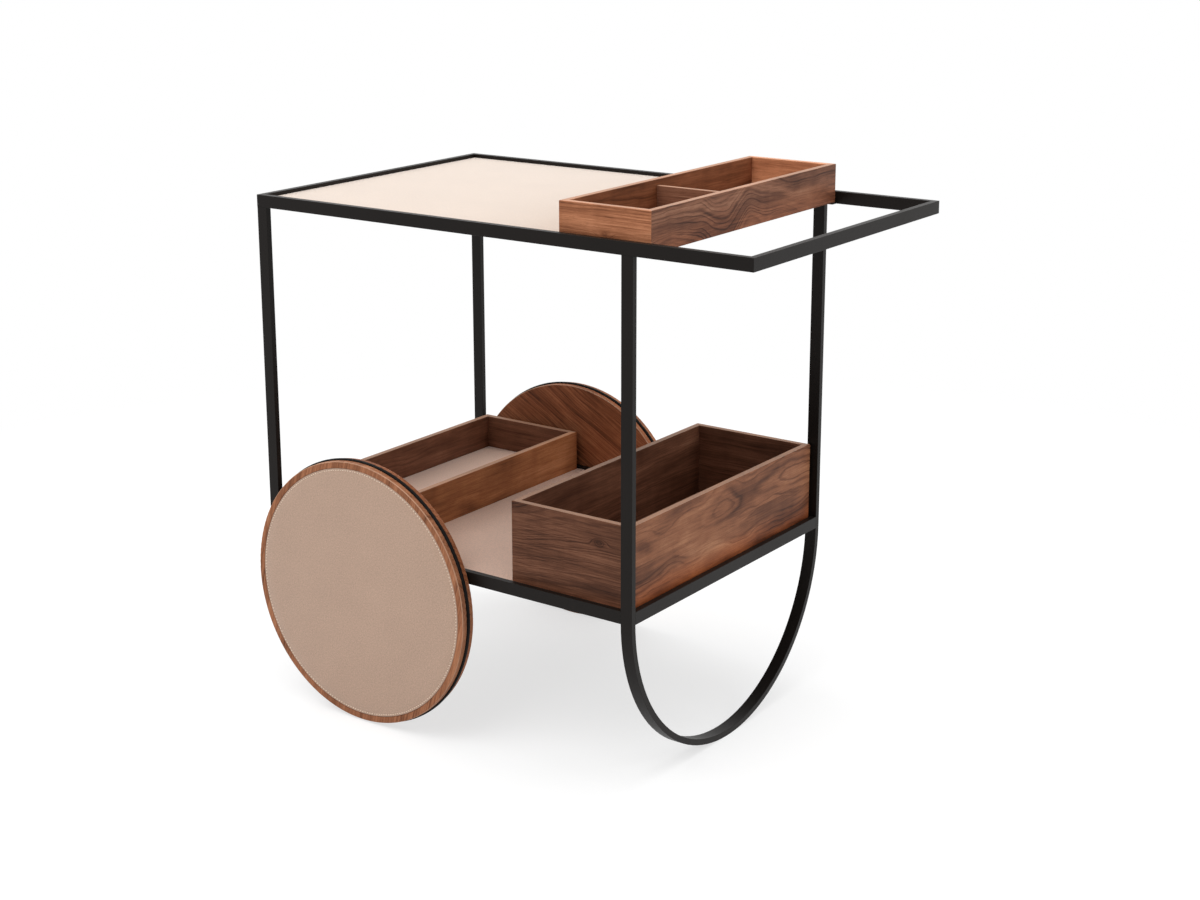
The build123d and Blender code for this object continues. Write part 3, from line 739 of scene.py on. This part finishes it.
def leather_sheet(name, node, body, hide):
    """A hide bonded to a board: flat with a faint unevenness, its cut edges rolled over."""
    low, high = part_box(node)
    size = high - low
    xs, ys = edge_steps(size.x), edge_steps(size.y)
    mesh = bmesh.new()

    def surface_point(x, y):
        inset = min(x, size.x - x, y, size.y - y)
        wave = field.noise(Vector((WAVES_PER_METRE * x, WAVES_PER_METRE * y, high.z)))
        wave *= LEATHER_WAVE * min(1.0, inset / SHEET_STEP)
        height = high.z - LEATHER_WAVE + wave - roll_drop(inset)
        return mesh.verts.new((low.x + x, low.y + y, height))

    grid = [[surface_point(x, y) for y in ys] for x in xs]
    for row, next_row in zip(grid, grid[1:]):
        for j in range(len(ys) - 1):
            mesh.faces.new((row[j], next_row[j], next_row[j + 1], row[j + 1]))
    rim = border(grid)
    foot = [mesh.verts.new((vert.co.x, vert.co.y, low.z)) for vert in rim]
    for i, vert in enumerate(rim):
        after = (i + 1) % len(rim)
        mesh.faces.new((rim[after], vert, foot[i], foot[after]))
    mesh.faces.new(list(reversed(foot)))
    piece = add_piece(name, mesh, hide, body)
    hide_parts(node)


leather_sheet("top_leather_cover", "top_leather", "frame", top_hide)
leather_sheet("shelf_leather_cover", "shelf_leather", "frame", shelf_hide)
leather_sheet("glass_tray_leather_liner", "glass_tray_leather", "glass_tray", shelf_hide)


class WheelHide:
    """The stitched leather disc let into a wheel's outer face; side is 1 on the right and -1 on the left."""

    def __init__(self, side_name, side):
        self.side_name = side_name
        self.side = side
        self.node = f"wheel_leather_{side_name}"
        low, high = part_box(self.node)
        self.centre = (low + high) / 2
        self.radius = (high.x - low.x) / 2
        self.face_y = high.y if side > 0 else low.y
        self.back_y = low.y if side > 0 else high.y
        self.stitch_radius = self.radius - STITCH_INSET
        self.stitch_count = round(2 * math.pi * self.stitch_radius / STITCH_PITCH)

    def point(self, distance, angle, depth):
        """A point this far from the wheel's centre and below the face of the hide."""
        x = self.centre.x + distance * math.cos(angle)
        z = self.centre.z + distance * math.sin(angle)
        return Vector((x, self.face_y - self.side * depth, z))

    def groove(self, distance, angle):
        """Depth of the sewn groove, deepest where the thread goes through."""
        share = max(0.0, 1 - abs(distance - self.stitch_radius) / GROOVE_HALF_WIDTH)
        smooth = share * share * (3 - 2 * share)
        return STITCH_GROOVE * smooth * (GROOVE_MEAN + GROOVE_PULL * math.cos(self.stitch_count * angle))

    def surface_point(self, distance, angle):
        wave = LEATHER_WAVE * field.noise(WAVES_PER_METRE * self.point(distance, angle, 0.0))
        depth = LEATHER_WAVE - wave + roll_drop(self.radius - distance) + self.groove(distance, angle)
        return self.point(distance, angle, depth)

    def ring_radii(self):
        """Radii of the rings of points: wide apart inside, close over the groove and the rolled edge."""
        groove_step = GROOVE_HALF_WIDTH / GROOVE_STEPS
        inner = [share * self.radius for share in INNER_RINGS]
        sewn = [self.stitch_radius + groove_step * i for i in range(-GROOVE_STEPS, GROOVE_STEPS + 1)]
        rolled = [self.radius - inset for inset in reversed(roll_insets())]
        return inner + sewn + rolled

    def disc_mesh(self):
        segments = SEGMENTS_PER_STITCH * self.stitch_count
        angles = [2 * math.pi * i / segments for i in range(segments)]
        mesh = bmesh.new()
        rings = []
        for distance in self.ring_radii():
            rings.append([mesh.verts.new(self.surface_point(distance, angle)) for angle in angles])
        foot = [mesh.verts.new((vert.co.x, self.back_y, vert.co.z)) for vert in rings[-1]]
        rings.append(foot)
        hub = mesh.verts.new(self.point(0.0, 0.0, LEATHER_WAVE))
        for i in range(segments):
            after = (i + 1) % segments
            mesh.faces.new((hub, rings[0][i], rings[0][after]))
            for inner, outer in zip(rings, rings[1:]):
                mesh.faces.new((inner[i], outer[i], outer[after], inner[after]))
        mesh.faces.new(foot)
        bmesh.ops.recalc_face_normals(mesh, faces=mesh.faces)
        return mesh

    def add_disc(self):
        name = f"wheel_leather_disc_{self.side_name}"
        disc = add_piece(name, self.disc_mesh(), wheel_hide, f"wheel_{self.side_name}")
        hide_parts(self.node)

    def sew(self, mesh, angle):
        """One saddle stitch: it comes up through the leather, lies a little aslant and goes down again."""
        outward = Vector((math.cos(angle), 0.0, math.sin(angle)))
        tangent = Vector((-math.sin(angle), 0.0, math.cos(angle)))
        lie = tangent * math.cos(STITCH_SLANT) + outward * math.sin(STITCH_SLANT)
        across = outward * math.cos(STITCH_SLANT) - tangent * math.sin(STITCH_SLANT)
        proud = Vector((0.0, self.side, 0.0))
        middle = self.point(self.stitch_radius, angle, LEATHER_WAVE + STITCH_GROOVE)
        turns = [2 * math.pi * j / STEPS_ROUND_THREAD for j in range(STEPS_ROUND_THREAD)]
        spokes = [across * math.cos(turn) + proud * math.sin(turn) for turn in turns]
        loops = []
        for i in range(STEPS_ALONG_STITCH + 1):
            run = 2 * i / STEPS_ALONG_STITCH - 1
            height = THREAD_RADIUS * (THREAD_RISE - THREAD_DIVE * run**4)
            heart = middle + lie * (run * STITCH_LENGTH / 2) + proud * height
            thick = THREAD_RADIUS * (1.0 - THREAD_TAPER * run**2)
            loops.append([mesh.verts.new(heart + spoke * thick) for spoke in spokes])
        for first, second in zip(loops, loops[1:]):
            for j in range(STEPS_ROUND_THREAD):
                after = (j + 1) % STEPS_ROUND_THREAD
                mesh.faces.new((first[j], first[after], second[after], second[j]))
        mesh.faces.new(loops[0])
        mesh.faces.new(loops[-1])

    def add_stitching(self):
        mesh = bmesh.new()
        for k in range(self.stitch_count):
            self.sew(mesh, 2 * math.pi * (k + 0.5) / self.stitch_count)
        bmesh.ops.recalc_face_normals(mesh, faces=mesh.faces)
        add_piece(f"wheel_stitching_{self.side_name}", mesh, thread, f"wheel_{self.side_name}")


for side_name, side in (("left", -1), ("right", 1)):
    inlay = WheelHide(side_name, side)
    inlay.add_disc()
    inlay.add_stitching()


def add_camera():
    data = bpy.data.cameras.new("photo_camera")
    data.sensor_width = SENSOR_WIDTH
    data.lens = FOCAL_PIXELS / IMAGE_WIDTH * SENSOR_WIDTH
    data.shift_x, data.shift_y = CAMERA_SHIFT
    camera = bpy.data.objects.new("photo_camera", data)
    bpy.context.scene.collection.objects.link(camera)
    turn = Matrix.Rotation(CAMERA_YAW, 4, "Z")
    tip = Matrix.Rotation(math.pi / 2 - CAMERA_PITCH, 4, "X")
    roll = Matrix.Rotation(CAMERA_ROLL, 4, "Z")
    camera.matrix_world = Matrix.Translation(CAMERA_PLACE) @ turn @ tip @ roll
    bpy.context.scene.camera = camera


def add_softbox(name, place, target, width, height, power):
    """A soft studio lamp that faces its target."""
    data = bpy.data.lights.new(name, "AREA")
    data.shape = "RECTANGLE"
    data.size = width
    data.size_y = height
    data.energy = power
    lamp = bpy.data.objects.new(name, data)
    bpy.context.scene.collection.objects.link(lamp)
    lamp.location = place
    lamp.rotation_euler = (Vector(target) - Vector(place)).to_track_quat("-Z", "Y").to_euler()


def seen_ray(tree):
    """1 where a ray comes from the camera, a reflection or through glass."""
    path = tree.nodes.new("ShaderNodeLightPath")
    total = path.outputs["Is Camera Ray"]
    for name in ("Is Glossy Ray", "Is Transmission Ray"):
        node = tree.nodes.new("ShaderNodeMath")
        node.operation = "MAXIMUM"
        tree.links.new(total, node.inputs[0])
        tree.links.new(path.outputs[name], node.inputs[1])
        total = node.outputs[0]
    return total


def floor_finish():
    """Pale paint that looks white and keeps the soft shadow; further off it is seen as plain white."""
    g = Graph("studio_floor")
    g.nodes.remove(g.shader)
    seen = seen_ray(g.material.node_tree)
    paint = g.nodes.new("ShaderNodeBsdfDiffuse")
    shade = g.span(seen, FLOOR_BOUNCE, FLOOR_SEEN)
    g.put(paint.inputs["Color"], g.join(shade, shade, shade))
    glow = g.nodes.new("ShaderNodeEmission")
    g.put(glow.inputs["Strength"], g.math("MULTIPLY", seen, FLOOR_GLOW))
    near = g.nodes.new("ShaderNodeAddShader")
    g.put(near.inputs[0], paint.outputs[0])
    g.put(near.inputs[1], glow.outputs[0])
    white = g.nodes.new("ShaderNodeEmission")
    past_near = g.math("SUBTRACT", g.vector("LENGTH", g.place()), FLOOR_NEAR)
    share = g.ramp(g.math("DIVIDE", past_near, FLOOR_FAR - FLOOR_NEAR), (0.0, 0.0), (1.0, 1.0))
    both = g.nodes.new("ShaderNodeMixShader")
    g.put(both.inputs[0], g.math("MULTIPLY", share, seen))
    g.put(both.inputs[1], near.outputs[0])
    g.put(both.inputs[2], white.outputs[0])
    g.put(g.nodes["Material Output"].inputs["Surface"], both.outputs[0])
    return g.material


def add_floor():
    half = FLOOR_SIZE / 2
    corners = [(-half, -half, 0), (half, -half, 0), (half, half, 0), (-half, half, 0)]
    mesh = bpy.data.meshes.new("studio_floor")
    mesh.from_pydata(corners, [], [(0, 1, 2, 3)])
    mesh.materials.append(floor_finish())
    floor = bpy.data.objects.new("studio_floor", mesh)
    bpy.context.scene.collection.objects.link(floor)


def add_world():
    """White where it is seen, a plain soft light on the object."""
    world = bpy.data.worlds.new("studio")
    world.use_nodes = True
    tree = world.node_tree
    strength = tree.nodes.new("ShaderNodeMix")
    tree.links.new(seen_ray(tree), strength.inputs["Factor"])
    strength.inputs["A"].default_value = SKY_LIGHT
    strength.inputs["B"].default_value = SKY_SEEN
    background = tree.nodes["Background"]
    background.inputs["Color"].default_value = (1.0, 1.0, 1.0, 1.0)
    tree.links.new(strength.outputs["Result"], background.inputs["Strength"])
    bpy.context.scene.world = world


add_camera()
for softbox in SOFTBOXES:
    add_softbox(*softbox)
add_floor()
add_world()
bpy.context.scene.view_settings.view_transform = "Standard"
